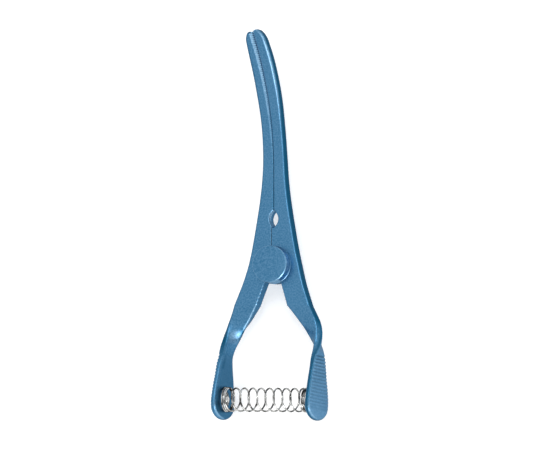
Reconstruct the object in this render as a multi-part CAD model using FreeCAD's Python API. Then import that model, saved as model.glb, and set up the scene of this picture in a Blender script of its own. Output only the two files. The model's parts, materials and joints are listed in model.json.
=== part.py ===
import FreeCAD, Part
import math
import os

# Bulldog clamp with spring closed jaws. Two flat arms turn on one rivet, their handles
# are twisted a quarter turn into thumb plates, and a coil spring pushes the plates apart.
# Millimetres. While it is drawn the pivot axis is the Z axis, +Y points to the jaw tips,
# +X to the right arm and +Z out of the face that carries the rivet head.

# Arm blank
arm_thick = 1.5
edge_bevel = 0.24
bevel_share = 0.26
tip_reach = 30.36
tip_notch = 0.31
blank_over = 0.8
jaw_lean = 0.05
bend_start = 12.0
bend_radius = 55.8
seam_gap = 0.06

# Pivot
lug_radius = 2.35
lug_clear = 0.05
layer_gap = 0.03
lap_step = 0.28
lap_low = 2.0
lap_top = 4.75
pin_radius = 1.1
pin_clear = 0.03
head_radius = 2.38
head_height = 1.3
head_round = 0.36
tail_radius = 1.5
tail_height = 0.3
crotch_slope = 0.335
crotch_top = 1.5
crotch_close = 0.65
seam_over = 0.9

# Window behind the teeth
window_top = 7.1
window_half = 0.66

# Jaw teeth, and the bevel along the front of the left jaw
tooth_pitch = 0.26
tooth_depth = 0.12
bevel_near = 0.06
bevel_tip = 0.32
bevel_grow_from = 14.0

# Thumb plates
plate_end = 19.8
plate_width = 6.1
plate_thick = 0.7
plate_centre = 6.6
plate_round_from = 17.9
rib_pitch = 0.42
rib_depth = 0.13
rib_mouth = 0.275
rib_root = 0.038
rib_first = 11.6
rib_count = 17

# Closing spring and its seats
spring_drop = 17.2
spring_outer = 3.15
wire_thick = 0.22
wire_sides = 8
steps_per_turn = 12
active_turns = 9.5
closed_turns = 2.25
closed_pitch = 0.25
ease_turns = 0.4
spring_clear = 0.02
seat_radius = 1.05
seat_height = 0.45
seat_stud_radius = 0.5
seat_stud_depth = 0.3
stud_clear = 0.02

# Points over each jaw tip: across from the seam, down from the tip. Then the foot on the outer edge
left_nose = [(0.0, tip_notch), (-0.47, tip_notch), (-0.79, tip_notch + 0.2), (-0.91, tip_notch + 0.6)]
left_nose_foot = 1.46
right_nose = [(0.0, tip_notch), (0.24, 0.08), (0.56, 0.0), (0.95, 0.19), (1.42, 0.7), (1.74, 1.21)]
right_nose_foot = 1.98

# Half width of the two arms together, measured level, from the handles to the tips
flat_half_width = [(-5.15, 5.28), (-2.1, 4.13), (1.0, 3.28), (5.0, 2.49), (8.6, 1.9), (11.6, 1.59),
                   (17.5, 1.45), (23.0, 1.56), (27.6, 1.51), (29.0, 1.39), (31.2, 1.1)]

# Handle below the flat part: height, middle, width, thickness, twist in degrees, set back
handle_sections = [(-5.15, 3.697, 3.166, arm_thick, 0.0, 0.0),
                   (-6.0, 4.22, 2.95, 1.42, 13.0, 0.3),
                   (-7.0, 4.83, 2.82, 1.3, 28.0, 0.56),
                   (-8.0, 5.4, 2.6, 1.18, 42.0, 0.6),
                   (-9.6, 6.03, 2.3, 1.06, 65.0, 0.5),
                   (-10.6, 6.33, 2.45, 0.94, 79.0, 0.3),
                   (-11.6, 6.48, 2.95, 0.84, 89.0, 0.1),
                   (-12.8, 6.56, 3.8, 0.75, 90.0, 0.0),
                   (-14.2, 0.995 * plate_centre, 4.6, plate_thick, 90.0, 0.0),
                   (-16.2, plate_centre, 5.65, plate_thick, 90.0, 0.0),
                   (-17.6, plate_centre, plate_width, plate_thick, 90.0, 0.0),
                   (-plate_end - blank_over, plate_centre, plate_width, plate_thick, 90.0, 0.0)]
handle_steps = 19
flat_steps = 24
bevel_steps = 12

LEFT = -1
RIGHT = 1
flat_low = handle_sections[0][0]
half = arm_thick / 2.0
plate_inner = plate_centre - plate_thick / 2.0

# Cutting solids reach this far past the clamp
beyond = 5.0


def smooth(stations, y, column=1):
    """Value at height y of a smooth curve through the stations."""
    rows = sorted(stations)
    last = len(rows) - 1
    k = 0
    while k < last - 1 and y > rows[k + 1][0]:
        k += 1
    y0, y1 = rows[k][0], rows[k + 1][0]
    v0, v1 = rows[k][column], rows[k + 1][column]
    chord = (v1 - v0) / (y1 - y0)
    below = chord
    above = chord
    if k > 0:
        below = (v0 - rows[k - 1][column]) / (y0 - rows[k - 1][0])
    if k + 2 <= last:
        above = (rows[k + 2][column] - v1) / (rows[k + 2][0] - y1)
    m0 = 0.5 * (below + chord) if below * chord > 0 else 0.0
    m1 = 0.5 * (above + chord) if above * chord > 0 else 0.0
    h = y1 - y0
    t = (y - y0) / h
    a = (1 + 2 * t) * (1 - t) ** 2 * v0 + t * (1 - t) ** 2 * h * m0
    b = t * t * (3 - 2 * t) * v1 + t * t * (t - 1) * h * m1
    return a + b


def seam_x(y):
    """The seam leans a little and then bends to the left on an arc."""
    x = -jaw_lean * y
    if y > bend_start:
        rise = y - bend_start
        x -= bend_radius - math.sqrt(bend_radius ** 2 - rise ** 2)
    return x


def point(x, y, z=0.0):
    return FreeCAD.Vector(x, y, z)


def section(side, y, middle, width, thick, twist, back=0.0):
    """Bevelled rectangle across the arm, its outer edge turned to the front by the twist."""
    a = math.radians(twist)
    wide = point(side * math.cos(a), 0, math.sin(a))
    flat = point(-side * math.sin(a), 0, math.cos(a))
    centre = point(middle, y, -back)
    bevel = min(edge_bevel, bevel_share * thick)
    w = width / 2.0
    t = thick / 2.0
    corners = [(w, t - bevel), (w - bevel, t), (bevel - w, t), (-w, t - bevel),
               (-w, bevel - t), (bevel - w, -t), (w - bevel, -t), (w, bevel - t)]
    ring = [centre + wide * u + flat * v for u, v in corners]
    return Part.makePolygon(ring + [ring[0]])


def flat_section(side, y):
    """Section of the flat part. Above the crotch it runs past the seam and is trimmed later."""
    outer = seam_x(y) + side * smooth(flat_half_width, y)
    if y < 0:
        outer = side * smooth(flat_half_width, y)
    foot_middle, foot_width = handle_sections[0][1:3]
    inner = foot_middle - foot_width / 2.0 - crotch_slope * (min(y, -crotch_top) - flat_low)
    inner = max(inner - crotch_close * max(0.0, y + crotch_top), -seam_over)
    inner_x = side * inner + (seam_x(y) if y > lap_low else 0.0)
    middle = (outer + inner_x) / 2.0
    return section(side, y, middle, abs(outer - inner_x), arm_thick, 0.0)


def handle_section(side, y):
    middle, width, thick, twist, back = [smooth(handle_sections, y, column) for column in range(1, 6)]
    return section(side, y, side * middle, width, thick, twist, back)


def arm_blank(side):
    """One loft from the thumb plate through the quarter twist to past the jaw tip."""
    bottom = -plate_end - blank_over
    top = tip_reach + blank_over
    wires = []
    for k in range(handle_steps):
        wires.append(handle_section(side, bottom + (flat_low - bottom) * k / handle_steps))
    for k in range(flat_steps + 1):
        wires.append(flat_section(side, flat_low + (top - flat_low) * k / flat_steps))
    return Part.makeLoft(wires, True, False)


def prism(edges_or_points, low, high):
    """Solid between two heights over a closed outline."""
    if isinstance(edges_or_points[0], FreeCAD.Vector):
        wire = Part.makePolygon(edges_or_points + [edges_or_points[0]])
    else:
        wire = Part.Wire(edges_or_points)
    face = Part.Face(wire)
    face.translate(point(0, 0, low))
    return face.extrude(point(0, 0, high - low))


def nose(side):
    """Curve over the jaw tip, from the seam to the outer edge."""
    low = tip_reach - tip_notch
    x = seam_x(low) + side * seam_gap / 2.0
    steps, foot = (left_nose, left_nose_foot) if side == LEFT else (right_nose, right_nose_foot)
    through = [point(x + across, tip_reach - down) for across, down in steps]
    edge_y = tip_reach - foot
    through.append(point(seam_x(edge_y) + side * smooth(flat_half_width, edge_y), edge_y))
    curve = Part.BSplineCurve()
    curve.interpolate(through)
    return curve.toShape(), through[0], through[-1]


def toothed_seam(side, top):
    """Fine transverse teeth from the tip down to the window, meshing with the other jaw."""
    offset = side * seam_gap / 2.0
    count = int((top.y - window_top) / tooth_pitch)
    points = [top]
    for k in range(count):
        for rise, depth in ((0.25, 0.5), (0.75, -0.5)):
            y = top.y - tooth_pitch * (k + rise)
            points.append(point(seam_x(y) + offset + depth * tooth_depth, y))
    points.append(point(seam_x(window_top) + offset, window_top))
    return [Part.makeLine(a, b) for a, b in zip(points, points[1:])], points[-1]


def arm_side(side):
    """Everything on this arm's side of the seam, with the nose, the teeth and the window."""
    curve, top, shoulder = nose(side)
    teeth, low = toothed_seam(side, top)
    middle_y = (window_top + lap_top) / 2.0
    foot = point(seam_x(lap_top) + side * seam_gap / 2.0, lap_top)
    lens = Part.Arc(low, point(seam_x(middle_y) + side * window_half, middle_y), foot).toShape()
    far = plate_centre + beyond
    under = -plate_end - beyond
    corners = [foot, point(-side * far, lap_top), point(-side * far, under), point(side * far, under),
               point(side * far, shoulder.y), shoulder]
    frame = [Part.makeLine(a, b) for a, b in zip(corners, corners[1:])]
    return prism(teeth + [lens] + frame + [curve], -beyond, beyond)


def lap_trim(side, layer, low, high):
    """Cuts the stepped seam between the window and the pivot in one layer."""
    step = -lap_step if layer > 0 else lap_step
    shift = step + side * seam_gap / 2.0
    far = -side * beyond
    top = (lap_top + window_top) / 2.0
    outline = [point(seam_x(lap_low) + shift, lap_low), point(seam_x(top) + shift, top),
               point(far, top), point(far, lap_low)]
    return prism(outline, low, high)


def round_end():
    """Keeps the part of a thumb plate inside its rounded end."""
    y = -plate_round_from
    r = plate_width / 2.0
    oval = Part.Ellipse(point(0, y, r), point(0, -plate_end, 0), point(0, y, 0))
    arc = Part.ArcOfEllipse(oval, -math.pi / 2.0, math.pi / 2.0).toShape()
    ends = sorted((v.Point for v in arc.Vertexes), key=lambda p: p.z)
    if abs(ends[0].z) < 0.5 * r:
        arc = Part.ArcOfEllipse(oval, 0.0, math.pi).toShape()
        ends = sorted((v.Point for v in arc.Vertexes), key=lambda p: p.z)
    wide = r + beyond
    top = tip_reach + beyond
    corners = [ends[1], point(0, y, wide), point(0, top, wide), point(0, top, -wide),
               point(0, y, -wide), ends[0]]
    lines = [Part.makeLine(a, b) for a, b in zip(corners, corners[1:])]
    face = Part.Face(Part.Wire(Part.__sortEdges__(lines + [arc])))
    far = plate_centre + beyond
    face.translate(point(-far, 0, 0))
    return face.extrude(point(2 * far, 0, 0))


def rib_grooves(side):
    """Shallow grooves across the outer face of the thumb plate."""
    cuts = []
    for k in range(rib_count):
        y = -rib_first - rib_pitch * k
        face_x = smooth(handle_sections, y, 1) + smooth(handle_sections, y, 3) / 2.0
        mouth_x = side * (face_x + rib_depth)
        root_x = side * (face_x - rib_depth)
        outline = [point(mouth_x, y - rib_mouth / 2.0), point(mouth_x, y + rib_mouth / 2.0),
                   point(root_x, y + rib_root / 2.0), point(root_x, y - rib_root / 2.0)]
        cuts.append(prism(outline, -beyond, beyond))
    return Part.makeCompound(cuts)


def jaw_bevel():
    """Cuts the front edge of the left jaw's seam to a bevel that grows towards the tip."""
    low = window_top + 2 * tooth_pitch
    wires = []
    for k in range(bevel_steps + 1):
        y = low + (tip_reach + blank_over - low) * k / bevel_steps
        share = max(0.0, (y - bevel_grow_from) / (tip_reach - bevel_grow_from))
        w = bevel_near + (bevel_tip - bevel_near) * min(1.0, share)
        x = seam_x(y)
        a = point(x - 2 * w, y, half + w)
        b = point(x + tooth_depth, y, half + w)
        c = point(x + tooth_depth, y, half - w - tooth_depth)
        wires.append(Part.makePolygon([a, b, c, a]))
    return Part.makeLoft(wires, True, False)


def cylinder(radius, low, high):
    return Part.makeCylinder(radius, high - low, point(0, 0, low))


def seat_hole(side):
    """Blind hole in the plate's inner face for the seat's stud."""
    start = point(side * (plate_inner - seat_height), -spring_drop)
    depth = seat_height + seat_stud_depth + stud_clear
    return Part.makeCylinder(seat_stud_radius + stud_clear, depth, start, point(side, 0, 0))


def arm(side):
    """One arm: jaw, half lap pivot lug, twisted handle and ribbed thumb plate."""
    body = arm_blank(side).common(arm_side(side))
    body = body.common(round_end())
    inner = layer_gap / 2.0
    if side == LEFT:
        recess = cylinder(lug_radius + lug_clear, -inner, beyond)
        lug = cylinder(lug_radius, -half, -inner)
        trims = [lap_trim(side, 1, -inner, beyond), lap_trim(side, -1, -beyond, -inner)]
    else:
        recess = cylinder(lug_radius + lug_clear, -beyond, inner)
        lug = cylinder(lug_radius, inner, half)
        trims = [lap_trim(side, 1, inner, beyond), lap_trim(side, -1, -beyond, inner)]
    body = body.cut(recess)
    for trim in trims:
        body = body.cut(trim)
    body = body.fuse(lug)
    body = body.cut(cylinder(pin_radius + pin_clear, -beyond, beyond))
    if side == LEFT:
        body = body.cut(cylinder(tail_radius + pin_clear, -beyond, -half + tail_height))
    if side == LEFT:
        body = body.cut(jaw_bevel())
    body = body.cut(rib_grooves(side))
    body = body.cut(seat_hole(side))
    return body.removeSplitter()


def pivot_rivet():
    """Large plain head in front, shank through both lugs, flat tail set into the back."""
    top = half + head_height
    head = cylinder(head_radius, half, top)
    rim = [e for e in head.Edges if e.Closed and e.BoundBox.ZMin > top - head_round]
    head = head.makeFillet(head_round, rim)
    shank = cylinder(pin_radius, -half, half)
    tail = cylinder(tail_radius, -half, -half + tail_height)
    return head.fuse(shank).fuse(tail).removeSplitter()


def spring_path():
    """Centre line of the wire: closed turns at both ends, open turns between."""
    reach = plate_inner - spring_clear - wire_thick / 2.0
    stack = closed_turns * closed_pitch
    open_pitch = (2 * reach - 2 * stack) / active_turns
    radius = (spring_outer - wire_thick) / 2.0
    turns = active_turns + 2 * closed_turns
    count = int(round(turns * steps_per_turn))
    path = []
    x = -reach
    for k in range(count + 1):
        turn = turns * k / count
        path.append(point(x, -spring_drop + radius * math.cos(2 * math.pi * turn),
                          radius * math.sin(2 * math.pi * turn)))
        middle = turns * (k + 0.5) / count
        into = min(middle, turns - middle) - closed_turns
        share = min(1.0, max(0.0, into / ease_turns + 0.5))
        x += (closed_pitch + (open_pitch - closed_pitch) * share) * turns / count
    stretch = reach / ((path[-1].x - path[0].x) / 2.0)
    middle = (path[-1].x + path[0].x) / 2.0
    return [point((p.x - middle) * stretch, p.y, p.z) for p in path]


def wire_ring(centre, heading):
    """Cross section of the spring wire, square to its heading."""
    heading.normalize()
    across = heading.cross(point(1, 0, 0)).normalize()
    up = across.cross(heading)
    ring = []
    for k in range(wire_sides):
        turn = 2 * math.pi * k / wire_sides
        ring.append(centre + (across * math.cos(turn) + up * math.sin(turn)) * (wire_thick / 2.0))
    return Part.makePolygon(ring + [ring[0]])


def closing_spring():
    """Helical compression spring between the thumb plates."""
    path = spring_path()
    rings = []
    for k, centre in enumerate(path):
        before = path[max(0, k - 1)]
        after = path[min(len(path) - 1, k + 1)]
        rings.append(wire_ring(centre, after - before))
    return Part.makeLoft(rings, True, True)


def spring_seat(side):
    """Low bare button that centres the spring, with a stud pressed into the plate."""
    base = point(side * plate_inner, -spring_drop)
    button = Part.makeCylinder(seat_radius, seat_height, base, point(-side, 0, 0))
    stud = Part.makeCylinder(seat_stud_radius, seat_stud_depth, base, point(side, 0, 0))
    return button.fuse(stud)


def main():
    shapes = {
        "left_arm": arm(LEFT),
        "right_arm": arm(RIGHT),
        "pivot_rivet": pivot_rivet(),
        "closing_spring": closing_spring(),
        "left_spring_seat": spring_seat(LEFT),
        "right_spring_seat": spring_seat(RIGHT),
    }
    box = FreeCAD.BoundBox()
    for shape in shapes.values():
        box.add(shape.optimalBoundingBox(False, False))
    shift = point(-(box.XMin + box.XMax) / 2.0, -(box.YMin + box.YMax) / 2.0, -box.ZMin)
    os.makedirs("parts", exist_ok=True)
    for name, shape in shapes.items():
        shape.translate(shift)
        shape.exportStep("parts/" + name + ".step")
        print(name, "valid", shape.isValid(), "solids", len(shape.Solids), "volume %.2f" % shape.Volume,
              "faces", len(shape.Faces))
    print("pivot axis at %.3f %.3f, middle of the arms %.3f above the base" % (shift.x, shift.y, shift.z))
    print("size %.2f x %.2f x %.2f" % (box.XLength, box.YLength, box.ZLength))


main()
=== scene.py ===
import bpy
import bmesh
import json
import math
from mathutils import Matrix, Vector


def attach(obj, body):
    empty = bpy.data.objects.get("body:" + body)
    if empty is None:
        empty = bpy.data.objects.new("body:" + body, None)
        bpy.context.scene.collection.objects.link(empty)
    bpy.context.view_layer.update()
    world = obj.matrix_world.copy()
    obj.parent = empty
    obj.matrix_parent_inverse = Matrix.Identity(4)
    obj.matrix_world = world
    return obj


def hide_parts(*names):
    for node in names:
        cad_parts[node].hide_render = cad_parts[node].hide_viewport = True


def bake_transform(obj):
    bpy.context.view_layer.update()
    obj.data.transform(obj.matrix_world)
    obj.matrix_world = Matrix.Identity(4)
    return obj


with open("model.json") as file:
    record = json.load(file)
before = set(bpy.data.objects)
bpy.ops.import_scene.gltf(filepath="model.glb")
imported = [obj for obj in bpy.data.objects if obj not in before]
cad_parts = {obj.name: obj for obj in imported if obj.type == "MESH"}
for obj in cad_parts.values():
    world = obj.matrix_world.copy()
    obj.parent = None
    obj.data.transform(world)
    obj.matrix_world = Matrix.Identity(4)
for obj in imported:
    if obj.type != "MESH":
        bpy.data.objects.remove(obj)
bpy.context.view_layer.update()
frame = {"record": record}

MM = 0.001
joint = frame["record"]["behaviour"]["joints"][0]
PIVOT = Vector(joint["pos_m"])
LEFT = -1
RIGHT = 1

# The photograph: size of a pixel at the clamp, and where the pivot axis crosses the arms
PIXEL = 0.1275 * MM
IMAGE_W = 540
IMAGE_H = 450
PIVOT_PX = (275.8, 265.6)
TURN_RIGHT = math.radians(25.0)
LEAN_LOW = math.radians(5.7)
CAMERA_FAR = 1.5
CAMERA_NEAR_CLIP = 0.01
SENSOR_WIDTH = 36.0

# Arms, in millimetres about the pivot axis, with the outline of the part's source
HALF_THICK = 0.75
TIP_REACH = 30.36
TIP_NOTCH = 0.31
JAW_LEAN = 0.05
BEND_START = 12.0
BEND_RADIUS = 55.8
SEAM_GAP = 0.06
LUG_RADIUS = 2.35
LUG_CLEAR = 0.05
LAYER_GAP = 0.03
LAP_STEP = 0.28
LAP_LOW = 2.0
LAP_TOP = 4.75
CROTCH_SLOPE = 0.335
CROTCH_TOP = 1.5
CROTCH_CLOSE = 0.65
SEAM_OVER = 0.9
WINDOW_TOP = 7.1
WINDOW_HALF = 0.66
TOOTH_PITCH = 0.26
TOOTH_DEPTH = 0.12
FLAT_HALF_WIDTH = [(-5.15, 5.28), (-2.1, 4.13), (1.0, 3.28), (5.0, 2.49), (8.6, 1.9), (11.6, 1.59),
                   (17.5, 1.45), (23.0, 1.56), (27.6, 1.51), (29.0, 1.39), (31.2, 1.1)]

# Outline over each jaw tip: down from the tip, across from the seam. The foot is where the rest of the
# outer edge begins. The shoulder lies on the seam side: square root of the drop from the tip, across
LEFT_NOSE = [(TIP_NOTCH, 0.47), (TIP_NOTCH + 0.2, 0.79), (TIP_NOTCH + 0.6, 0.91)]
LEFT_NOSE_FOOT = 1.46
RIGHT_NOSE = [(0.0, 0.56), (0.19, 0.95), (0.7, 1.42), (1.21, 1.74)]
RIGHT_NOSE_FOOT = 1.98
RIGHT_SHOULDER = (0.28, 0.24)

# Thumb plates
PLATE_END = 19.8
PLATE_HALF = 3.05
PLATE_THICK = 0.7
PLATE_CENTRE = 6.6
PLATE_ROUND_FROM = 17.9

# Handle: height, middle, width, thickness, twist in degrees, set back. It turns later than in the
# part's source, as the highlights of the photograph show
HANDLE = [(-5.15, 3.697, 3.166, 1.5, 0.0, 0.0),
          (-6.0, 4.22, 2.9, 1.42, 4.0, 0.3),
          (-7.0, 4.83, 2.68, 1.3, 10.0, 0.56),
          (-8.0, 5.4, 2.4, 1.18, 23.0, 0.6),
          (-9.6, 6.03, 2.2, 1.06, 57.0, 0.5),
          (-10.6, 6.33, 2.42, 0.94, 77.0, 0.3),
          (-11.6, 6.48, 2.95, 0.84, 89.0, 0.1),
          (-12.8, 6.56, 3.8, 0.75, 90.0, 0.0),
          (-14.2, 0.995 * PLATE_CENTRE, 4.6, PLATE_THICK, 90.0, 0.0),
          (-16.2, PLATE_CENTRE, 5.65, PLATE_THICK, 90.0, 0.0),
          (-17.6, PLATE_CENTRE, 2 * PLATE_HALF, PLATE_THICK, 90.0, 0.0),
          (-20.6, PLATE_CENTRE, 2 * PLATE_HALF, PLATE_THICK, 90.0, 0.0)]
FLAT_LOW = HANDLE[0][0]

# Ribs between grooves that get shallower toward the end of the plate, and the share of the half
# thickness beyond which the grooves cut in
RIB_PITCH = 0.42
RIB_DEPTH = 0.11
RIB_DEPTH_LOW = 0.05
RIB_MOUTH = 0.36
RIB_FIRST = 11.6
RIB_COUNT = 17
GROOVE_FROM = 0.3

# Bevels along the front of the seam, and how far the teeth fade out over them
BEVEL_NEAR = 0.06
BEVEL_TIP = 0.38
BEVEL_GROW_FROM = 14.0
BEVEL_POWER = 0.8
BEVEL_RIGHT = 0.06
BEVEL_FLAT = 1.6
TOOTH_FADE = 0.6

# Rounding of the edges, smallest along the seam, larger outside near the tips and at the back. On the
# handles it takes at most a share of the thickness
ROUND_HANDLE = 0.3
ROUND_CROTCH = 0.22
ROUND_JAW = 0.2
ROUND_TIP = 0.36
ROUND_REAR = 0.4
ROUND_SEAM = 0.05
ROUND_END = 0.45
ROUND_GROW_FROM = 15.0
ROUND_GROW_TO = 24.0
ROUND_HANDLE_OVER = 3.0
ROUND_THICK_SHARE = 0.45
CROTCH_ROUND_FROM = -5.0
CROTCH_ROUND_TO = -2.4
SLOPE_STEP = 0.02
SHARP_ANGLE = math.radians(32.0)

# File marks above the twist, and how far the painted highlight line runs down the handle below them
BEAD_SHARE = 0.25
BEAD_PITCH = 0.48
LINE_LOW = -8.4

# Points over each corner and along each face of a ring, closer together near the inner edge in front
CORNER_STEPS = 6
FACE_SHARES = (0.17, 0.34, 0.5, 0.66, 0.76, 0.82, 0.86, 0.9, 0.95)

# Rings: how many, how far apart, and how near to either side of a sudden step
END_RINGS = 16
RINGS_PER_RIB = 8
RINGS_PER_TOOTH = 6
HANDLE_RING_STEP = 0.1
LAP_RING_STEP = 0.15
LUG_RINGS = 24
WINDOW_RINGS = 36
NOSE_LENGTH = 1.5
NOSE_RINGS = 60
BESIDE_CROTCH = 0.005
BESIDE_LAP = 0.002
BESIDE_WINDOW = 0.004
BESIDE_LUG = 0.01

# Painted shade, from 0 to 1, on the side walls, the plates and their grooves
INNER_WALL_SHADE = 0.2
WINDOW_WALL_SHADE = 0.0
SEAM_DARK = [(12.0, 0.9), (17.0, 0.2)]
PLATE_SHADE = 0.4
PLATE_REAR_SHADE = 0.9
PLATE_EDGE_SHADE = {LEFT: 0.25, RIGHT: 0.85}
GROOVE_SHADE = 0.8
EDGE_LINE_SHADE = 0.75

# Where it fades: over the outer corner, along the handles, over the right twist, beside the plate's edge
CORNER_FADE = {LEFT: 1.0, RIGHT: 1.6}
SHADE_LOW = -12.5
SHADE_HIGH = -9.8
TWIST_SHADE_LOW = -9.0
TWIST_SHADE_HIGH = -7.0
TWIST_SHADE_MIDDLE = 0.6
EDGE_LINE = 0.6

# Paler edges, from 0 to 1: painted highlights, in part rubbed edges. The lists hold the heights at which it
# changes and its strength
TIP_HIGHLIGHT = [(17.5, 0.0), (20.0, 0.3), (23.5, 0.8), (28.0, 1.0), (30.3, 0.4)]
BEVEL_HIGHLIGHT = [(7.0, 0.0), (13.0, 0.1), (18.0, 0.35), (21.0, 0.55), (26.0, 0.9), (31.0, 1.0)]
SEAM_HIGHLIGHT = [(18.0, 0.0), (22.0, 0.7), (31.0, 1.0)]
LAP_EDGE_PALE = 0.5
LUG_EDGE_PALE = 0.5
WINDOW_HIGHLIGHT = [(5.6, 0.1), (6.2, 0.9), (6.9, 0.9), (7.1, 0.3)]
CROTCH_HIGHLIGHT = [(-8.5, 0.0), (-8.1, 0.8), (-7.8, 1.0), (-5.4, 1.0), (-4.9, 0.45), (-2.0, 0.35)]
END_HIGHLIGHT = [(-19.8, 0.2), (-19.3, 0.9), (-18.3, 0.7), (-17.4, 0.1), (-12.0, 0.1), (-9.0, 0.0)]
OUTER_FACE_SHEEN = 0.22

# A point counts as on a face beyond this share of the half thickness
FACE_SHARE = 0.6

# Painted highlight spot on the left handle: strength by height, middle and half width as shares of the width,
# and the painted shade between it and the inner edge
SPOT_HIGHLIGHT = [(-10.2, 0.0), (-9.5, 0.6), (-8.8, 0.7), (-8.2, 0.0)]
SPOT_AT = -0.02
SPOT_WIDE = 0.4
SPOT_SHADE = [(-10.0, 0.0), (-9.4, 0.8), (-8.3, 0.8), (-7.9, 0.0)]
SPOT_EDGE = -0.2
SPOT_EASE = 0.15

# Pivot lugs of the arms
LUG_INSET = 0.001
LUG_PROUD = 0.004
BORE_CLEAR = 0.03
LUG_STEPS = 128

# Rivet and its disc
HEAD_RADIUS = 2.38
HEAD_HEIGHT = 1.3
HEAD_BEVEL = 0.14
HEAD_BEVEL_DROP = 0.14
HEAD_EDGE = 0.06
HEAD_FOOT = 0.06
HEAD_FOOT_EASE = 0.02
HEAD_FOOT_LIP = 0.01
HEAD_DOME = 0.03
HEAD_RINGS = 8
HEAD_STEPS = 160
PIN_RADIUS = 1.1
PIN_NECK = 0.1
PIN_LOW = 0.5
TAIL_RADIUS = 1.5
TAIL_PROUD = 0.02
TAIL_ROUND = 0.08
TAIL_RINGS = (0.7, 0.4, 0.01)
ARC_STEPS = 6

# Painted light on the disc: on its side, a faint painted highlight on its rim away from the glint, and the
# glint's direction and sharpness
DISC_SIDE_SHEEN = 0.6
RIM_SHEEN = 0.08
GLINT = Vector((0.68, -0.73, 0.0))
GLINT_POWER = 8

# Closing spring, with more closed turns at its right end than in the part's source
SPRING_DROP = 17.2
SPRING_OUTER = 3.15
WIRE_THICK = 0.22
ACTIVE_TURNS = 8.9
CLOSED_LEFT = 2.25
CLOSED_RIGHT = 5.0
CLOSED_PITCH = 0.25
EASE_TURNS = 0.4
SPRING_CLEAR = 0.02
COIL_LEAN = 0.17
LEAN_TURNS = 1.5
END_FLARE = 0.05
STEPS_PER_TURN = 40
WIRE_SIDES = 12

# Seats of the spring
SEAT_RADIUS = 1.05
SEAT_HEIGHT = 0.45
SEAT_FLANGE = 0.1
SEAT_RIM = 0.04
SEAT_BOSS = 0.5
BOSS_FOOT = 0.06
BOSS_ROUND = 0.2
BOSS_STEPS = 8
SEAT_STEPS = 72

# Radius of the innermost ring of a turned piece, too small to see
POLE = 0.01

# Roughness of the noise in every metal
NOISE_ROUGH = 0.55

# Anodised metal: colours, with those of the painted shade and the painted highlight, grain and shine
BLUE_DEEP = (0.04, 0.161, 0.302, 1)
BLUE_CLOUD = (0.057, 0.19, 0.343, 1)
BLUE_SPECK = (0.098, 0.246, 0.415, 1)
BLUE_SHADE = (0.007, 0.08, 0.16, 1)
BLUE_SHEEN_AND_WEAR = (0.32, 0.54, 0.74, 1)
CLOUD_SCALE = 240.0
GRAIN_SCALE = 5000.0
GRAIN_DETAIL = 2.5
SPECK_FROM = 0.36
SPECK_TO = 0.64
SHEEN_AND_WEAR_LEAST = 0.45
SATIN_LOW = 0.3
SATIN_HIGH = 0.42
GRAIN_HEIGHT = 0.000012
BLUE_RIM = 0.5

# Bare steel: colours of the lit and the dark patches, painted reflections at random, rim, roughness and grain
WIRE_LIT = (0.7, 0.7, 0.68, 1)
WIRE_DARK = (0.07, 0.07, 0.068, 1)
WIRE_RIM = 0.0
WIRE_GRAIN = 1100.0
PATCH_FROM = 0.4
PATCH_TO = 0.6
SEAT_LIT = (0.78, 0.79, 0.78, 1)
SEAT_DARK = (0.3, 0.31, 0.3, 1)
SEAT_RIM_SHINE = 0.3
SEAT_GRAIN = 1400.0
STEEL_ROUGH = 0.16
STEEL_ROUGH_MORE = 0.12
STEEL_DETAIL = 2.0
STEEL_HEIGHT = 0.000006

# Studio: light of the world on the object, floor, and lamps with name, place, watts, width and height
WORLD_LIGHT = 0.92
FLOOR_GREY = 0.8
FLOOR_ROUGH = 0.9
FLOOR_GLOW = 0.4
FLOOR_HALF = 0.6
LAMPS = [("key", (0.21, -0.26, 0.137), 0.46, 0.16, 0.12),
         ("top", (0.108, 0.119, 0.32), 0.22, 0.1, 0.1)]


def tree_of(material):
    material.use_nodes = True
    return material.node_tree.nodes, material.node_tree.links


def noise(nodes, links, coords, scale, detail=3.0):
    node = nodes.new("ShaderNodeTexNoise")
    node.inputs["Scale"].default_value = scale
    node.inputs["Detail"].default_value = detail
    node.inputs["Roughness"].default_value = NOISE_ROUGH
    links.new(coords, node.inputs["Vector"])
    return node.outputs["Fac"]


def to_range(nodes, links, value, low, high, from_low=0.3, from_high=0.7):
    node = nodes.new("ShaderNodeMapRange")
    node.inputs["From Min"].default_value = from_low
    node.inputs["From Max"].default_value = from_high
    node.inputs["To Min"].default_value = low
    node.inputs["To Max"].default_value = high
    links.new(value, node.inputs["Value"])
    return node.outputs["Result"]


def mixed(nodes, links, factor, a, b):
    node = nodes.new("ShaderNodeMix")
    node.data_type = "RGBA"
    links.new(factor, node.inputs["Factor"])
    for value, socket in ((a, node.inputs[6]), (b, node.inputs[7])):
        if isinstance(value, tuple):
            socket.default_value = value
        else:
            links.new(value, socket)
    return node.outputs[2]


def times(nodes, links, a, b):
    node = nodes.new("ShaderNodeMath")
    node.operation = "MULTIPLY"
    for value, socket in ((a, node.inputs[0]), (b, node.inputs[1])):
        if isinstance(value, float):
            socket.default_value = value
        else:
            links.new(value, socket)
    return node.outputs[0]


def painted(nodes, name):
    node = nodes.new("ShaderNodeAttribute")
    node.attribute_name = name
    return node.outputs["Fac"]


def bumped(nodes, links, shader, height, distance):
    bump = nodes.new("ShaderNodeBump")
    bump.inputs["Strength"].default_value = 1.0
    bump.inputs["Distance"].default_value = distance
    links.new(height, bump.inputs["Height"])
    links.new(bump.outputs["Normal"], shader.inputs["Normal"])


def metal(shader, rim):
    """Metal that mirrors less at a grazing angle, down to the level of the rim."""
    shader.inputs["Metallic"].default_value = 1.0
    shader.inputs["Specular Tint"].default_value = (rim, rim, rim, 1)


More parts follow.
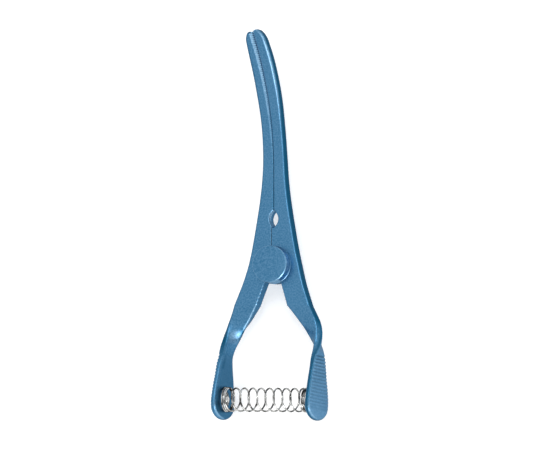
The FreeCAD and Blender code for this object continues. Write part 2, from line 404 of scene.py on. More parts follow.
def anodised(name):
    """Satin blue anodised titanium: blasted grain and cloudy colour, painted shade on sides, grooves and
    plates, and paler edges and spots that are painted highlights, in part rubbed edges.
    """
    material = bpy.data.materials.new(name)
    nodes, links = tree_of(material)
    shader = nodes["Principled BSDF"]
    coords = nodes.new("ShaderNodeTexCoord").outputs["Object"]
    cloud = to_range(nodes, links, noise(nodes, links, coords, CLOUD_SCALE), 0.0, 1.0)
    grain = noise(nodes, links, coords, GRAIN_SCALE, GRAIN_DETAIL)
    face = mixed(nodes, links, cloud, BLUE_DEEP, BLUE_CLOUD)
    speckle = to_range(nodes, links, grain, 0.0, 1.0, SPECK_FROM, SPECK_TO)
    face = mixed(nodes, links, speckle, face, BLUE_SPECK)
    # Painted shade where the wall attribute is set, and painted highlights, in part rubbed edges, where the
    # edge attribute is set
    side = mixed(nodes, links, painted(nodes, "wall"), face, BLUE_SHADE)
    sheen_and_wear = times(nodes, links, painted(nodes, "edge"), to_range(nodes, links, grain, SHEEN_AND_WEAR_LEAST, 1.0))
    colour = mixed(nodes, links, sheen_and_wear, side, BLUE_SHEEN_AND_WEAR)
    links.new(colour, shader.inputs["Base Color"])
    links.new(to_range(nodes, links, grain, SATIN_LOW, SATIN_HIGH), shader.inputs["Roughness"])
    bumped(nodes, links, shader, grain, GRAIN_HEIGHT)
    metal(shader, BLUE_RIM)
    return material


def bright_steel(name, lit, dark, rim, grain_scale):
    """Bare steel with a faint grain, random darker patches that paint dark reflections, and a darker rim."""
    material = bpy.data.materials.new(name)
    nodes, links = tree_of(material)
    shader = nodes["Principled BSDF"]
    coords = nodes.new("ShaderNodeTexCoord").outputs["Object"]
    grain = noise(nodes, links, coords, grain_scale, STEEL_DETAIL)
    # Random lit and dark patches that paint the metal's reflections
    patches = to_range(nodes, links, grain, 0.0, 1.0, PATCH_FROM, PATCH_TO)
    links.new(mixed(nodes, links, patches, lit, dark), shader.inputs["Base Color"])
    rough = to_range(nodes, links, grain, STEEL_ROUGH, STEEL_ROUGH + STEEL_ROUGH_MORE)
    links.new(rough, shader.inputs["Roughness"])
    bumped(nodes, links, shader, grain, STEEL_HEIGHT)
    metal(shader, rim)
    return material


def clamped(value):
    return min(1.0, max(0.0, value))


def smooth(stations, y, column=1):
    """Value at y of a smooth curve through the stations, the same as in the part's source."""
    rows = sorted(stations)
    last = len(rows) - 1
    k = 0
    while k < last - 1 and y > rows[k + 1][0]:
        k += 1
    y0, y1 = rows[k][0], rows[k + 1][0]
    v0, v1 = rows[k][column], rows[k + 1][column]
    chord = (v1 - v0) / (y1 - y0)
    below = chord
    above = chord
    if k > 0:
        below = (v0 - rows[k - 1][column]) / (y0 - rows[k - 1][0])
    if k + 2 <= last:
        above = (rows[k + 2][column] - v1) / (rows[k + 2][0] - y1)
    m0 = 0.5 * (below + chord) if below * chord > 0 else 0.0
    m1 = 0.5 * (above + chord) if above * chord > 0 else 0.0
    h = y1 - y0
    t = (y - y0) / h
    a = (1 + 2 * t) * (1 - t) ** 2 * v0 + t * (1 - t) ** 2 * h * m0
    b = t * t * (3 - 2 * t) * v1 + t * t * (t - 1) * h * m1
    return a + b


def level(stations, y):
    """Straight lines between stations, level past the ends."""
    rows = sorted(stations)
    if y <= rows[0][0]:
        return rows[0][1]
    for (y0, v0), (y1, v1) in zip(rows, rows[1:]):
        if y <= y1:
            return v0 + (v1 - v0) * (y - y0) / (y1 - y0)
    return rows[-1][1]


def seam_x(y):
    """Middle of the seam between the jaws, which lean and then bend to the left."""
    x = -JAW_LEAN * y
    if y > BEND_START:
        rise = y - BEND_START
        x -= BEND_RADIUS - math.sqrt(BEND_RADIUS ** 2 - rise ** 2)
    return x


def plain_outer(side, y):
    """Outer edge of the flat part without the nose, measured away from the middle."""
    out = smooth(FLAT_HALF_WIDTH, y)
    return out + side * seam_x(y) if y > 0 else out


def nose_top(side):
    return TIP_REACH - TIP_NOTCH if side == LEFT else TIP_REACH


def outer(side, y):
    """Outer edge with the nose, measured away from the middle."""
    low = side * seam_x(TIP_REACH - TIP_NOTCH) + SEAM_GAP / 2.0
    nose, foot = (LEFT_NOSE, LEFT_NOSE_FOOT) if side == LEFT else (RIGHT_NOSE, RIGHT_NOSE_FOOT)
    if y <= TIP_REACH - foot:
        return plain_outer(side, y)
    top = nose_top(side)
    rows = [(math.sqrt(top - TIP_REACH + down), low + across) for down, across in nose]
    edge = TIP_REACH - foot
    rows.append((math.sqrt(top - edge), plain_outer(side, edge)))
    return smooth(rows, math.sqrt(max(0.0, top - y)))


def tooth(side, y):
    """Rounded zigzag of the fine transverse teeth."""
    start = TIP_REACH - TIP_NOTCH
    return side * 0.5 * TOOTH_DEPTH * math.sin(2 * math.pi * (start - y) / TOOTH_PITCH)


def inner(side, y, layer):
    """Inner edge of one layer of the flat part, measured away from the middle."""
    foot_middle, foot_width = HANDLE[0][1:3]
    edge = foot_middle - foot_width / 2.0 - CROTCH_SLOPE * (min(y, -CROTCH_TOP) - FLAT_LOW)
    edge = max(edge - CROTCH_CLOSE * max(0.0, y + CROTCH_TOP), -SEAM_OVER)
    gap = SEAM_GAP / 2.0
    recess = LUG_RADIUS + LUG_CLEAR
    if y > LAP_TOP:
        edge = side * seam_x(y) + gap
        if y < WINDOW_TOP:
            middle = (WINDOW_TOP + LAP_TOP) / 2.0
            share = (y - middle) / (WINDOW_TOP - middle)
            edge += (WINDOW_HALF - gap) * (1.0 - share * share)
            if y < middle:
                edge = max(edge, side * (seam_x(y) - layer * LAP_STEP) + gap)
        elif y < TIP_REACH - TIP_NOTCH:
            edge += tooth(side, y)
        else:
            rise = math.sqrt(max(0.0, TIP_REACH - y))
            low = side * seam_x(TIP_REACH - TIP_NOTCH) + gap
            at, out = RIGHT_SHOULDER
            edge = smooth([(0.0, low + RIGHT_NOSE[0][1]), (at, low + out), (math.sqrt(TIP_NOTCH), low)], rise)
    elif y > LAP_LOW:
        edge = side * (seam_x(y) - layer * LAP_STEP) + gap
    if layer == -side and abs(y) < recess:
        edge = max(edge, math.sqrt(recess ** 2 - y * y))
    return edge


def seam_bevel(side, y):
    """Width of the bevel along the front of the seam. The left jaw has the broad one."""
    if y < WINDOW_TOP:
        return ROUND_SEAM
    share = max(0.0, (y - BEVEL_GROW_FROM) / (TIP_REACH - BEVEL_GROW_FROM))
    if side == RIGHT:
        return ROUND_SEAM + BEVEL_RIGHT * share
    return BEVEL_NEAR + (BEVEL_TIP - BEVEL_NEAR) * share ** BEVEL_POWER


def rib_depth(y):
    """Depth of the groove at y on the outer face of a thumb plate."""
    k = round((-y - RIB_FIRST) / RIB_PITCH)
    if k < 0 or k >= RIB_COUNT:
        return 0.0
    off = abs(-y - RIB_FIRST - RIB_PITCH * k) / (RIB_MOUTH / 2.0)
    depth = RIB_DEPTH + (RIB_DEPTH_LOW - RIB_DEPTH) * k / RIB_COUNT
    return depth * (0.5 + 0.5 * math.cos(math.pi * off)) if off < 1.0 else 0.0


def edge_profile(r, wear_and_sheen, straight=False):
    """Points over a rounded or bevelled edge, from the wall to the face: inset, lost height, painted
    highlight.
    """
    points = []
    for j in range(CORNER_STEPS + 1):
        share = j / CORNER_STEPS
        sheen_and_wear = wear_and_sheen * math.sin(math.pi * share * share)
        if straight:
            points.append((BEVEL_FLAT * r * share, r * (1.0 - share), min(wear_and_sheen, 2 * sheen_and_wear)))
        else:
            turn = 0.5 * math.pi * share
            points.append((r * (1.0 - math.cos(turn)), r * (1.0 - math.sin(turn)), sheen_and_wear))
    return points


def lost_near(distance, r):
    """Height lost that far inside the rounded end of an outline."""
    if distance >= r:
        return 0.0
    return r - math.sqrt(max(0.0, r * r - (r - distance) ** 2))


def inner_round(y):
    """Radius of the inner edges of the handle, small where the arms lap over each other."""
    if y > CROTCH_ROUND_TO:
        return ROUND_SEAM
    share = min(1.0, (CROTCH_ROUND_TO - y) / (CROTCH_ROUND_TO - CROTCH_ROUND_FROM))
    return ROUND_SEAM + (ROUND_CROTCH - ROUND_SEAM) * math.sqrt(share)


def beads(y, share):
    """File marks along the front inner edge of the arm, between the twist and the lap."""
    if y < FLAT_LOW or y > CROTCH_ROUND_TO:
        return 1.0
    return 1.0 + share * math.sin(2 * math.pi * y / BEAD_PITCH)


def face_points(a, b, up):
    """Points between two corners, which have no paint."""
    return [(a[0] + (b[0] - a[0]) * share, up, 0.0, 0.0) for share in FACE_SHARES]


def ring_points(outside, outside_rear, inside_front, inside_rear, step, half, outer_shade, inner_shade,
                fade, inner_sheen=0.0):
    """One closed ring of (out, up, painted highlight, painted shade). A corner lists (out, height lost,
    highlight) from wall to face.
    """
    ring = []
    last = CORNER_STEPS
    for j, (out, lost, sheen_and_wear) in enumerate(outside):
        ring.append((out, half - lost, sheen_and_wear, outer_shade * max(0.0, 1.0 - (fade * j / last) ** 2)))
    ring += face_points(outside[-1], inside_front[-1], half - outside[-1][1])
    for j, (out, lost, sheen_and_wear) in enumerate(reversed(inside_front)):
        ring.append((out, half - lost, max(sheen_and_wear, inner_sheen * j / last), inner_shade * j / last))
    ring.append((inside_front[0][0], step, inner_sheen, inner_shade))
    ring.append((inside_rear[0][0], step, 0.0, inner_shade))
    for j, (out, lost, sheen_and_wear) in enumerate(inside_rear):
        ring.append((out, lost - half, sheen_and_wear, inner_shade * (1.0 - j / last)))
    ring += face_points(inside_rear[-1], outside_rear[-1], outside_rear[-1][1] - half)
    for j, (out, lost, sheen_and_wear) in enumerate(reversed(outside_rear)):
        ring.append((out, lost - half, sheen_and_wear, outer_shade * j / last))
    return ring


def outer_corner(side, y, profile):
    """The profile of an edge set square to the outline, and lower near the tip."""
    top = nose_top(side)
    above = min(y + SLOPE_STEP, top)
    slope = (outer(side, above) - outer(side, y - SLOPE_STEP)) / (above - y + SLOPE_STEP)
    tilt = math.sqrt(1.0 + slope * slope)
    n_out, n_up = 1.0 / tilt, -slope / tilt
    end = lost_near(top - y, ROUND_END)
    points = []
    for inset, lost, sheen_and_wear in profile:
        points.append((outer(side, min(y + n_up * inset, top)) - n_out * inset, max(lost, end), sheen_and_wear))
    return points


def front_inner_edge(side, y):
    """Profile of the front edge along the seam, the lap and the crotch."""
    if y > CROTCH_ROUND_TO:
        # Painted highlights along the left jaw's bevel and the right jaw's seam edge near the tips, paler
        # edges on the lap
        wear_and_sheen = level(BEVEL_HIGHLIGHT if side == LEFT else SEAM_HIGHLIGHT, y) if y > WINDOW_TOP else LAP_EDGE_PALE
        return edge_profile(seam_bevel(side, y), wear_and_sheen, y > LAP_TOP)
    # Painted highlight, beaded like the file marks, along the left arm's crotch
    wear_and_sheen = level(CROTCH_HIGHLIGHT, y) * beads(y, 1.0) if side == LEFT else 0.0
    return edge_profile(inner_round(y) * beads(y, BEAD_SHARE), wear_and_sheen)


def flat_ring(side, y):
    """Ring round the flat part: jaw, window, half lap and crotch."""
    grown = clamped((y - ROUND_GROW_FROM) / (ROUND_GROW_TO - ROUND_GROW_FROM))
    r = ROUND_JAW + (ROUND_TIP - ROUND_JAW) * grown
    rear_r = max(r, ROUND_REAR * min(1.0, y / ROUND_GROW_FROM))
    # Painted highlight on the right jaw's outer rounding near the tip
    outside = outer_corner(side, y, edge_profile(r, level(TIP_HIGHLIGHT, y) if side == RIGHT else 0.0))
    outside_rear = outer_corner(side, y, edge_profile(rear_r, 0.0))
    end = lost_near(nose_top(side) - y, ROUND_END)
    front, rear = inner(side, y, 1), inner(side, y, -1)
    toothed = WINDOW_TOP < y < TIP_REACH - TIP_NOTCH
    zigzag = TOOTH_FADE * tooth(side, y) / CORNER_STEPS if toothed else 0.0
    inside_front = [(front + inset - zigzag * j, max(lost, end), sheen_and_wear)
                    for j, (inset, lost, sheen_and_wear) in enumerate(front_inner_edge(side, y))]
    inside_rear = [(rear + inset, max(lost, end), sheen_and_wear)
                   for inset, lost, sheen_and_wear in edge_profile(inner_round(y), 0.0)]
    # Painted shade on the inner wall, deepest in the seam near the tips
    inner_shade = level(SEAM_DARK, y) if y > WINDOW_TOP else INNER_WALL_SHADE
    inner_sheen = 0.0
    # Painted highlight on the left side of the window
    if LAP_TOP < y < WINDOW_TOP:
        inner_shade = WINDOW_WALL_SHADE
        inner_sheen = level(WINDOW_HIGHLIGHT, y) if side == LEFT else 0.0
    # The outer wall takes the full painted shade
    return ring_points(outside, outside_rear, inside_front, inside_rear, side * LAYER_GAP / 2.0, HALF_THICK,
                       1.0, inner_shade, CORNER_FADE[side], inner_sheen)


def plate_corner(y, half, r):
    """Profile along the edge of the handle, drawn in round the end of the thumb plate."""
    past = -y - PLATE_ROUND_FROM
    reach = PLATE_END - PLATE_ROUND_FROM
    points = []
    # Painted highlight round the lower end of the thumb plate
    for inset, lost, sheen_and_wear in edge_profile(r, level(END_HIGHLIGHT, y)):
        out = half - inset
        if past > 0:
            room = max(0.0, reach - past)
            part = min(inset, room)
            share = min(1.0, past / max(reach - part, 1e-6))
            out = (half - part) * math.sqrt(max(0.0, 1.0 - share * share))
            lost = max(lost, lost_near(room, r))
        points.append((out, lost, sheen_and_wear))
    return points


def turned_share(y):
    """How far the paint has changed from that of the arm, 0, to that of the thumb plate, 1."""
    return clamped((SHADE_HIGH - y) / (SHADE_HIGH - SHADE_LOW))


def handle_paint(side, y, across, inside, up, sheen_and_wear, dark):
    """Painted highlight and painted shade at a point of the handle. Across is a share of the width from the
    middle, inside is the distance from the rounding of the outer edge, and up is a share of the half
    thickness."""
    turned = turned_share(y)
    groove = rib_depth(y)
    # Painted shade on the inner face of the plate, and a painted shade line beside its front edge
    shade = PLATE_SHADE * turned * clamped(up)
    if up > FACE_SHARE and 0.0 < inside < EDGE_LINE:
        shade = EDGE_LINE_SHADE * turned
    # Painted shade in the grooves between the ribs
    if groove > 0 and -up > FACE_SHARE:
        dark = GROOVE_SHADE * groove / RIB_DEPTH
    # Less painted shade on the right arm's twist
    if side == RIGHT:
        twisting = clamped((TWIST_SHADE_HIGH - y) / (TWIST_SHADE_HIGH - TWIST_SHADE_LOW)) * (1.0 - turned)
        dark *= 1.0 - twisting * clamped(TWIST_SHADE_MIDDLE + up)
    # Painted light on the plate's outer, ribbed face
    if -up > FACE_SHARE:
        sheen_and_wear = max(sheen_and_wear, OUTER_FACE_SHEEN * turned)
    # Painted highlight spot on the left twist, with painted shade between it and the inner edge
    if side == LEFT and up > FACE_SHARE:
        spot = max(0.0, 1.0 - ((across - SPOT_AT) / SPOT_WIDE) ** 2)
        sheen_and_wear = max(sheen_and_wear, level(SPOT_HIGHLIGHT, y) * spot)
        dark = max(dark, level(SPOT_SHADE, y) * clamped((SPOT_EDGE - across) / SPOT_EASE))
    return sheen_and_wear, max(dark, shade)


def handle_ring(side, y):
    """Ring round the twisted handle and the thumb plate, before the twist is applied."""
    middle, width, thick = [smooth(HANDLE, y, column) for column in (1, 2, 3)]
    share = min(1.0, (FLAT_LOW - y) / ROUND_HANDLE_OVER)
    r = min(ROUND_JAW + (ROUND_HANDLE - ROUND_JAW) * share, ROUND_THICK_SHARE * thick)
    half = width / 2.0
    corner = plate_corner(y, half, r)
    rear = [(-out, lost, 0.0) for out, lost, sheen_and_wear in corner]
    front = rear
    # Painted highlight line along the left arm's inner edge, down to its low end
    if y > LINE_LOW:
        wear_and_sheen = level(CROTCH_HIGHLIGHT, y) if side == LEFT else 0.0
        front = [(inset - half, lost, sheen_and_wear) for inset, lost, sheen_and_wear in edge_profile(r, wear_and_sheen)]
    # Painted shade on the outer walls and the rear inner edges, changing toward the thumb plate
    turned = turned_share(y)
    wall = 1.0 + (PLATE_EDGE_SHADE[side] - 1.0) * turned
    rear_shade = INNER_WALL_SHADE + (PLATE_REAR_SHADE - INNER_WALL_SHADE) * turned
    ring = ring_points(corner, corner, front, rear, 0.0, thick / 2.0, wall, rear_shade, CORNER_FADE[side])
    groove = rib_depth(y)
    points = []
    for u, v, sheen_and_wear, dark in ring:
        up = 2.0 * v / thick
        depth = groove * clamped((-up - GROOVE_FROM) / (1.0 - GROOVE_FROM))
        sheen_and_wear, dark = handle_paint(side, y, u / width, half - r - u, up, sheen_and_wear, dark)
        points.append((u + middle, v + depth, sheen_and_wear, dark))
    return points


def even(low, high, pitch):
    count = max(1, int(round((high - low) / pitch)))
    return [low + (high - low) * k / count for k in range(count)]


def stations(side):
    """Heights of the rings, close together over ribs, teeth and rounded ends."""
    reach = PLATE_END - PLATE_ROUND_FROM
    ribs_top = -RIB_FIRST + RIB_PITCH
    tooth_step = TOOTH_PITCH / RINGS_PER_TOOTH
    heights = [-PLATE_ROUND_FROM - reach * math.cos(0.5 * math.pi * k / END_RINGS) for k in range(END_RINGS)]
    heights += even(-PLATE_ROUND_FROM, ribs_top, RIB_PITCH / RINGS_PER_RIB)
    heights += even(ribs_top, LINE_LOW, HANDLE_RING_STEP)
    heights += even(LINE_LOW, CROTCH_ROUND_TO, tooth_step)
    recess = LUG_RADIUS + LUG_CLEAR
    heights += [recess * math.sin(0.5 * math.pi * (k / LUG_RINGS - 1)) for k in range(2 * LUG_RINGS + 1)]
    heights += [CROTCH_ROUND_TO + BESIDE_CROTCH, LAP_LOW - BESIDE_LAP, LAP_LOW + BESIDE_LAP]
    heights += even(recess + BESIDE_LUG, LAP_TOP - BESIDE_WINDOW, LAP_RING_STEP)
    middle = (LAP_TOP + WINDOW_TOP) / 2.0
    heights += [middle - (middle - LAP_TOP) * math.cos(math.pi * k / WINDOW_RINGS)
                for k in range(WINDOW_RINGS + 1)]
    heights += [LAP_TOP - BESIDE_WINDOW, LAP_TOP + BESIDE_WINDOW]
    top = nose_top(side)
    heights += even(WINDOW_TOP + BESIDE_WINDOW, top - NOSE_LENGTH, tooth_step)
    heights += [top - NOSE_LENGTH * (1.0 - k / NOSE_RINGS) ** 2 for k in range(NOSE_RINGS + 1)]
    return sorted(set(round(y, 5) for y in heights))


def placed(side, y, ring):
    """Ring points in the frame, in metres. The handle's rings are turned and set back."""
    centre = 0.0
    turn = 0.0
    back = 0.0
    if y < FLAT_LOW:
        centre = smooth(HANDLE, y, 1)
        turn = math.radians(smooth(HANDLE, y, 4))
        back = smooth(HANDLE, y, 5)
    points = []
    for u, v, sheen_and_wear, dark in ring:
        across = u - centre
        x = side * (centre + across * math.cos(turn) - v * math.sin(turn))
        z = across * math.sin(turn) + v * math.cos(turn) - back
        points.append(PIVOT + Vector((x, y, z)) * MM)
    return points


def band_faces(rows, count):
    """Quads between closed rings of that many points each."""
    faces = []
    for row in range(rows - 1):
        for k in range(count):
            a, b = row * count + k, row * count + (k + 1) % count
            faces.append((a, b, b + count, a + count))
    return faces


def end_caps(total, count):
    return [tuple(range(count)), tuple(range(total - count, total))]


def finished(name, verts, faces, wear_and_sheen, shades, material):
    """Object of those faces, smooth but for its sharp edges, with its painted highlight and painted shade as
    attributes.
    """
    mesh = bpy.data.meshes.new(name)
    mesh.from_pydata(verts, [], faces)
    for label, values in (("edge", wear_and_sheen), ("wall", shades)):
        mesh.attributes.new(label, "FLOAT", "POINT").data.foreach_set("value", values)
    cleaned = bmesh.new()
    cleaned.from_mesh(mesh)
    bmesh.ops.recalc_face_normals(cleaned, faces=cleaned.faces)
    cleaned.to_mesh(mesh)
    cleaned.free()
    mesh.shade_smooth()
    mesh.set_sharp_from_angle(angle=SHARP_ANGLE)
    mesh.materials.append(material)
    piece = bpy.data.objects.new(name, mesh)
    bpy.context.collection.objects.link(piece)
    return piece


def lathe(profile, at, axis, steps, glint=None):
    """Vertices, faces and attributes of a turned piece. The profile lists (radius, along, painted highlight,
    painted shade).
    A glint is the direction in which a painted highlight stronger than the paint on the side shows."""
    axis = Vector(axis)
    across = Vector((0, 1, 0))
    other = axis.cross(across)
    verts, wear_and_sheen, shades = [], [], []
    for radius, along, sheen_and_wear, dark in profile:
        for k in range(steps):
            turn = 2 * math.pi * k / steps
            spoke = across * math.cos(turn) + other * math.sin(turn)
            verts.append(PIVOT + (Vector(at) + axis * along + spoke * radius) * MM)
            here = 1.0
            # Painted highlight toward the glint, faint elsewhere on the rim
            if glint and sheen_and_wear > DISC_SIDE_SHEEN:
                here = RIM_SHEEN + (1.0 - RIM_SHEEN) * max(0.0, spoke.dot(glint)) ** GLINT_POWER
            wear_and_sheen.append(sheen_and_wear * here)
            shades.append(dark)
    return verts, band_faces(len(profile), steps), wear_and_sheen, shades


def lug_profile():
    """Half section of a pivot lug, which lies within the arm's half lap."""
    near = LAYER_GAP / 2.0 + LUG_INSET
    far = HALF_THICK + LUG_PROUD
    bore = TAIL_RADIUS + BORE_CLEAR
    # Painted shade on the lug's sides and a paler top edge
    return [(bore, near, 0, INNER_WALL_SHADE), (LUG_RADIUS, near, 0, INNER_WALL_SHADE),
            (LUG_RADIUS, far - ROUND_SEAM, 0, INNER_WALL_SHADE), (LUG_RADIUS - ROUND_SEAM, far, LUG_EDGE_PALE, 0),
            (bore + ROUND_SEAM, far, LUG_EDGE_PALE, 0), (bore, far - ROUND_SEAM, 0, INNER_WALL_SHADE),
            (bore, near, 0, INNER_WALL_SHADE)]


def arm(side, name, material):
    """One arm as a ring swept from the thumb plate to the jaw tip, and its pivot lug."""
    verts, wear_and_sheen, shades = [], [], []
    rows = stations(side)
    count = 0
    for y in rows:
        ring = flat_ring(side, y) if y >= FLAT_LOW else handle_ring(side, y)
        count = len(ring)
        verts += placed(side, y, ring)
        wear_and_sheen += [point[2] for point in ring]
        shades += [point[3] for point in ring]
    faces = band_faces(len(rows), count) + end_caps(len(verts), count)
    lug = lathe(lug_profile(), (0, 0, 0), (0, 0, side), LUG_STEPS)
    start = len(verts)
    verts += lug[0]
    faces += [tuple(start + k for k in face) for face in lug[1]]
    wear_and_sheen += lug[2]
    shades += lug[3]
    return finished(name, verts, faces, wear_and_sheen, shades, material)


def head_profile():
    """Half section of the disc: slightly domed face, bevelled rim, side and slight foot."""
    top = HALF_THICK + HEAD_HEIGHT
    profile = [(POLE, top + HEAD_DOME, 0, 0)]
    face = HEAD_RADIUS - HEAD_BEVEL
    for k in range(1, HEAD_RINGS + 1):
        share = k / HEAD_RINGS
        profile.append((face * share, top + HEAD_DOME * (1 - share ** 2), 0, 0))
    # The third value is painted highlight: on the bevel and the foot, shown toward the glint, and painted
    # light all round the side
    slope = math.atan2(HEAD_BEVEL_DROP, HEAD_BEVEL)
    for k in range(1, ARC_STEPS + 1):
        turn = slope * k / ARC_STEPS
        profile.append((face + HEAD_EDGE * math.sin(turn), top - HEAD_EDGE * (1 - math.cos(turn)),
                        0 if k == 1 else 1, 0))
    for k in range(1, ARC_STEPS + 1):
        turn = slope + (0.5 * math.pi - slope) * k / ARC_STEPS
        profile.append((HEAD_RADIUS - HEAD_EDGE * (1 - math.sin(turn)),
                        top - HEAD_BEVEL_DROP + HEAD_EDGE * math.cos(turn), DISC_SIDE_SHEEN, 0))
    foot = HALF_THICK + HEAD_FOOT
    profile += [(HEAD_RADIUS, foot + HEAD_FOOT_EASE, DISC_SIDE_SHEEN, 0),
                (HEAD_RADIUS + HEAD_FOOT_LIP, foot, 1, 0),
                (HEAD_RADIUS + HEAD_FOOT, HALF_THICK + HEAD_FOOT_LIP, 1, 0),
                (HEAD_RADIUS + HEAD_FOOT, HALF_THICK, 0, 0)]
    return profile


def tail_profile():
    """Half section of the shank and of the flat tail, a hair proud of the back."""
    profile = [(TAIL_RADIUS, HALF_THICK, 0, 0), (PIN_RADIUS, HALF_THICK - PIN_NECK, 0, 0),
               (PIN_RADIUS, -PIN_LOW, 0, 0), (TAIL_RADIUS, -PIN_LOW, 0, 0)]
    low = -HALF_THICK - TAIL_PROUD
    for k in range(ARC_STEPS + 1):
        turn = 0.5 * math.pi * k / ARC_STEPS
        # The tail's rounded edge is painted paler
        profile.append((TAIL_RADIUS - TAIL_ROUND * (1 - math.cos(turn)),
                        low + TAIL_ROUND * (1 - math.sin(turn)), math.sin(2 * turn), 0))
    return profile + [(TAIL_RADIUS * share, low, 0, 0) for share in TAIL_RINGS]


def rivet(name, material):
    profile = head_profile() + tail_profile()
    return finished(name, *lathe(profile, (0, 0, 0), (0, 0, 1), HEAD_STEPS, GLINT), material)


def seat(side, name, material):
    """Flange against the plate and a boss that centres the spring."""
    profile = [(POLE, 0.0, 0, 0), (SEAT_RADIUS - SEAT_RIM, 0.0, 0, 0), (SEAT_RADIUS, SEAT_RIM, 0, 0),
               (SEAT_RADIUS, SEAT_FLANGE - SEAT_RIM, 0, 0), (SEAT_RADIUS - SEAT_RIM, SEAT_FLANGE, 0, 0),
               (SEAT_BOSS + BOSS_FOOT, SEAT_FLANGE, 0, 0), (SEAT_BOSS, SEAT_FLANGE + BOSS_FOOT, 0, 0)]
    r = BOSS_ROUND
    for k in range(BOSS_STEPS + 1):
        turn = 0.5 * math.pi * k / BOSS_STEPS
        profile.append((SEAT_BOSS - r * (1 - math.cos(turn)), SEAT_HEIGHT - r * (1 - math.sin(turn)), 0, 0))
    profile += [(SEAT_BOSS - r, SEAT_HEIGHT, 0, 0), (POLE, SEAT_HEIGHT, 0, 0)]
    at = (side * (PLATE_CENTRE - PLATE_THICK / 2.0), -SPRING_DROP, 0)
    return finished(name, *lathe(profile, at, (-side, 0, 0), SEAT_STEPS), material)


def spring_path():
    """Centre line of the wire, closed at both ends, with leaning open turns and a flared left end."""
    reach = PLATE_CENTRE - PLATE_THICK / 2.0 - SPRING_CLEAR - WIRE_THICK / 2.0
    turns = ACTIVE_TURNS + CLOSED_LEFT + CLOSED_RIGHT
    open_pitch = (2 * reach - (CLOSED_LEFT + CLOSED_RIGHT) * CLOSED_PITCH) / ACTIVE_TURNS
    radius = (SPRING_OUTER - WIRE_THICK) / 2.0
    count = int(round(turns * STEPS_PER_TURN))
    path = []
    x = -reach
    for k in range(count + 1):
        turn = 2 * math.pi * turns * k / count
        into = min(turns * k / count - CLOSED_LEFT, turns * (1 - k / count) - CLOSED_RIGHT)
        lean = COIL_LEAN * clamped(0.5 + into / LEAN_TURNS)
        wide = radius * (1.0 + END_FLARE * max(0.0, 1.0 - turns * k / count / CLOSED_LEFT))
        z = wide * math.sin(turn)
        path.append([x, -SPRING_DROP + wide * math.cos(turn), z, -lean * z])
        share = clamped(into / EASE_TURNS + 0.5)
        x += (CLOSED_PITCH + (open_pitch - CLOSED_PITCH) * share) * turns / count
    middle = (path[0][0] + path[-1][0]) / 2.0
    stretch = reach / (path[-1][0] - middle)
    return [Vector(((p[0] - middle) * stretch + p[3], p[1], p[2])) for p in path]


def spring(name, material):
    """Round wire along the path."""
    path = spring_path()
    last = len(path) - 1
    verts = []
    for k, centre in enumerate(path):
        heading = (path[min(k + 1, last)] - path[max(k - 1, 0)]).normalized()
        across = heading.cross(Vector((1, 0, 0))).normalized()
        up = across.cross(heading)
        for j in range(WIRE_SIDES):
            turn = 2 * math.pi * j / WIRE_SIDES
            spoke = across * math.cos(turn) + up * math.sin(turn)
            verts.append(PIVOT + (centre + spoke * (WIRE_THICK / 2.0)) * MM)
    faces = band_faces(len(path), WIRE_SIDES) + end_caps(len(verts), WIRE_SIDES)
    return finished(name, verts, faces, [0.0] * len(verts), [0.0] * len(verts), material)


def dress():
    """The finished pieces in place of the solids; the arms, seats and rivet each on its body, the spring on
    none.
    """
    blue = anodised("blue_anodised")
    wire = bright_steel("spring_wire", WIRE_LIT, WIRE_DARK, WIRE_RIM, WIRE_GRAIN)
    bare = bright_steel("seat_metal", SEAT_LIT, SEAT_DARK, SEAT_RIM_SHINE, SEAT_GRAIN)
    arms = ((LEFT, "left_arm", "left_half"), (RIGHT, "right_arm", "right_half"))
    for side, node, body in arms:
        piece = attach(arm(side, node + "_finish", blue), body)
        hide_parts(node)
        boss = node.replace("arm", "spring_seat")
        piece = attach(seat(side, boss + "_finish", bare), body)
        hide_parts(boss)
    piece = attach(rivet("pivot_rivet_finish", blue), "left_half")
    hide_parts("pivot_rivet")
    coil = spring("closing_spring_finish", wire)
    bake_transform(coil)
    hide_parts("closing_spring")


def seen_rays(nodes, links):
    """1 for the rays of the camera and those that metal mirrors, 0 for the light that falls on the object."""
    path = nodes.new("ShaderNodeLightPath")
    value = path.outputs["Is Camera Ray"]
    for kind in ("Is Glossy Ray", "Is Transmission Ray"):
        larger = nodes.new("ShaderNodeMath")
        larger.operation = "MAXIMUM"
        links.new(value, larger.inputs[0])
        links.new(path.outputs[kind], larger.inputs[1])
        value = larger.outputs[0]
    return value


def sky():
    """White where it is seen, and a little under that as light on the object."""
    world = bpy.data.worlds.new("studio")
    bpy.context.scene.world = world
    world.use_nodes = True
    nodes, links = world.node_tree.nodes, world.node_tree.links
    back = nodes["Background"]
    strength = nodes.new("ShaderNodeMapRange")
    strength.inputs["To Min"].default_value = WORLD_LIGHT
    strength.inputs["To Max"].default_value = 1.0
    links.new(seen_rays(nodes, links), strength.inputs["Value"])
    links.new(strength.outputs["Result"], back.inputs["Strength"])
    back.inputs["Color"].default_value = (1, 1, 1, 1)


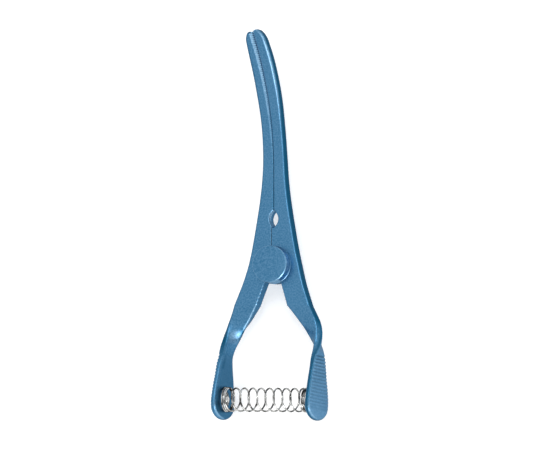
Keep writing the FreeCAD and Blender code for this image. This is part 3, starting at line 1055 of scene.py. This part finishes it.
def ground():
    """Plain pale floor that keeps the clamp's shadow."""
    mesh = bpy.data.meshes.new("floor")
    s = FLOOR_HALF
    mesh.from_pydata([(-s, -s, 0), (s, -s, 0), (s, s, 0), (-s, s, 0)], [], [(0, 1, 2, 3)])
    floor = bpy.data.objects.new("floor", mesh)
    bpy.context.collection.objects.link(floor)
    material = bpy.data.materials.new("floor")
    nodes, links = tree_of(material)
    shader = nodes["Principled BSDF"]
    shader.inputs["Base Color"].default_value = (FLOOR_GREY, FLOOR_GREY, FLOOR_GREY, 1)
    shader.inputs["Roughness"].default_value = FLOOR_ROUGH
    shader.inputs["Emission Color"].default_value = (1, 1, 1, 1)
    links.new(times(nodes, links, seen_rays(nodes, links), FLOOR_GLOW), shader.inputs["Emission Strength"])
    floor.data.materials.append(material)


def lamp(name, place, power, width, height):
    """Soft lamp that points at the middle of the frame."""
    data = bpy.data.lights.new(name, "AREA")
    data.energy = power
    data.shape = "RECTANGLE"
    data.size = width
    data.size_y = height
    light = bpy.data.objects.new(name, data)
    bpy.context.collection.objects.link(light)
    light.location = place
    light.rotation_euler = (Vector((0, 0, 0)) - Vector(place)).to_track_quat("-Z", "Y").to_euler()


def camera():
    """Long lens that looks from the right and a little from below, as the photograph does."""
    toward = Vector((math.sin(TURN_RIGHT) * math.cos(LEAN_LOW), -math.sin(LEAN_LOW),
                     math.cos(TURN_RIGHT) * math.cos(LEAN_LOW)))
    up = toward.cross(Vector((1, 0, 0))).normalized()
    right = up.cross(toward)
    middle = PIVOT + right * ((IMAGE_W / 2 - PIVOT_PX[0]) * PIXEL)
    middle += up * ((PIVOT_PX[1] - IMAGE_H / 2) * PIXEL)
    data = bpy.data.cameras.new("camera")
    data.sensor_width = SENSOR_WIDTH
    data.lens = data.sensor_width * CAMERA_FAR / (IMAGE_W * PIXEL)
    data.clip_start = CAMERA_NEAR_CLIP
    view = bpy.data.objects.new("camera", data)
    bpy.context.collection.objects.link(view)
    turn = Matrix((right, up, toward)).transposed().to_4x4()
    view.matrix_world = Matrix.Translation(middle + toward * CAMERA_FAR) @ turn
    bpy.context.scene.camera = view


dress()
sky()
ground()
for values in LAMPS:
    lamp(*values)
camera()
bpy.context.scene.view_settings.view_transform = "Standard"
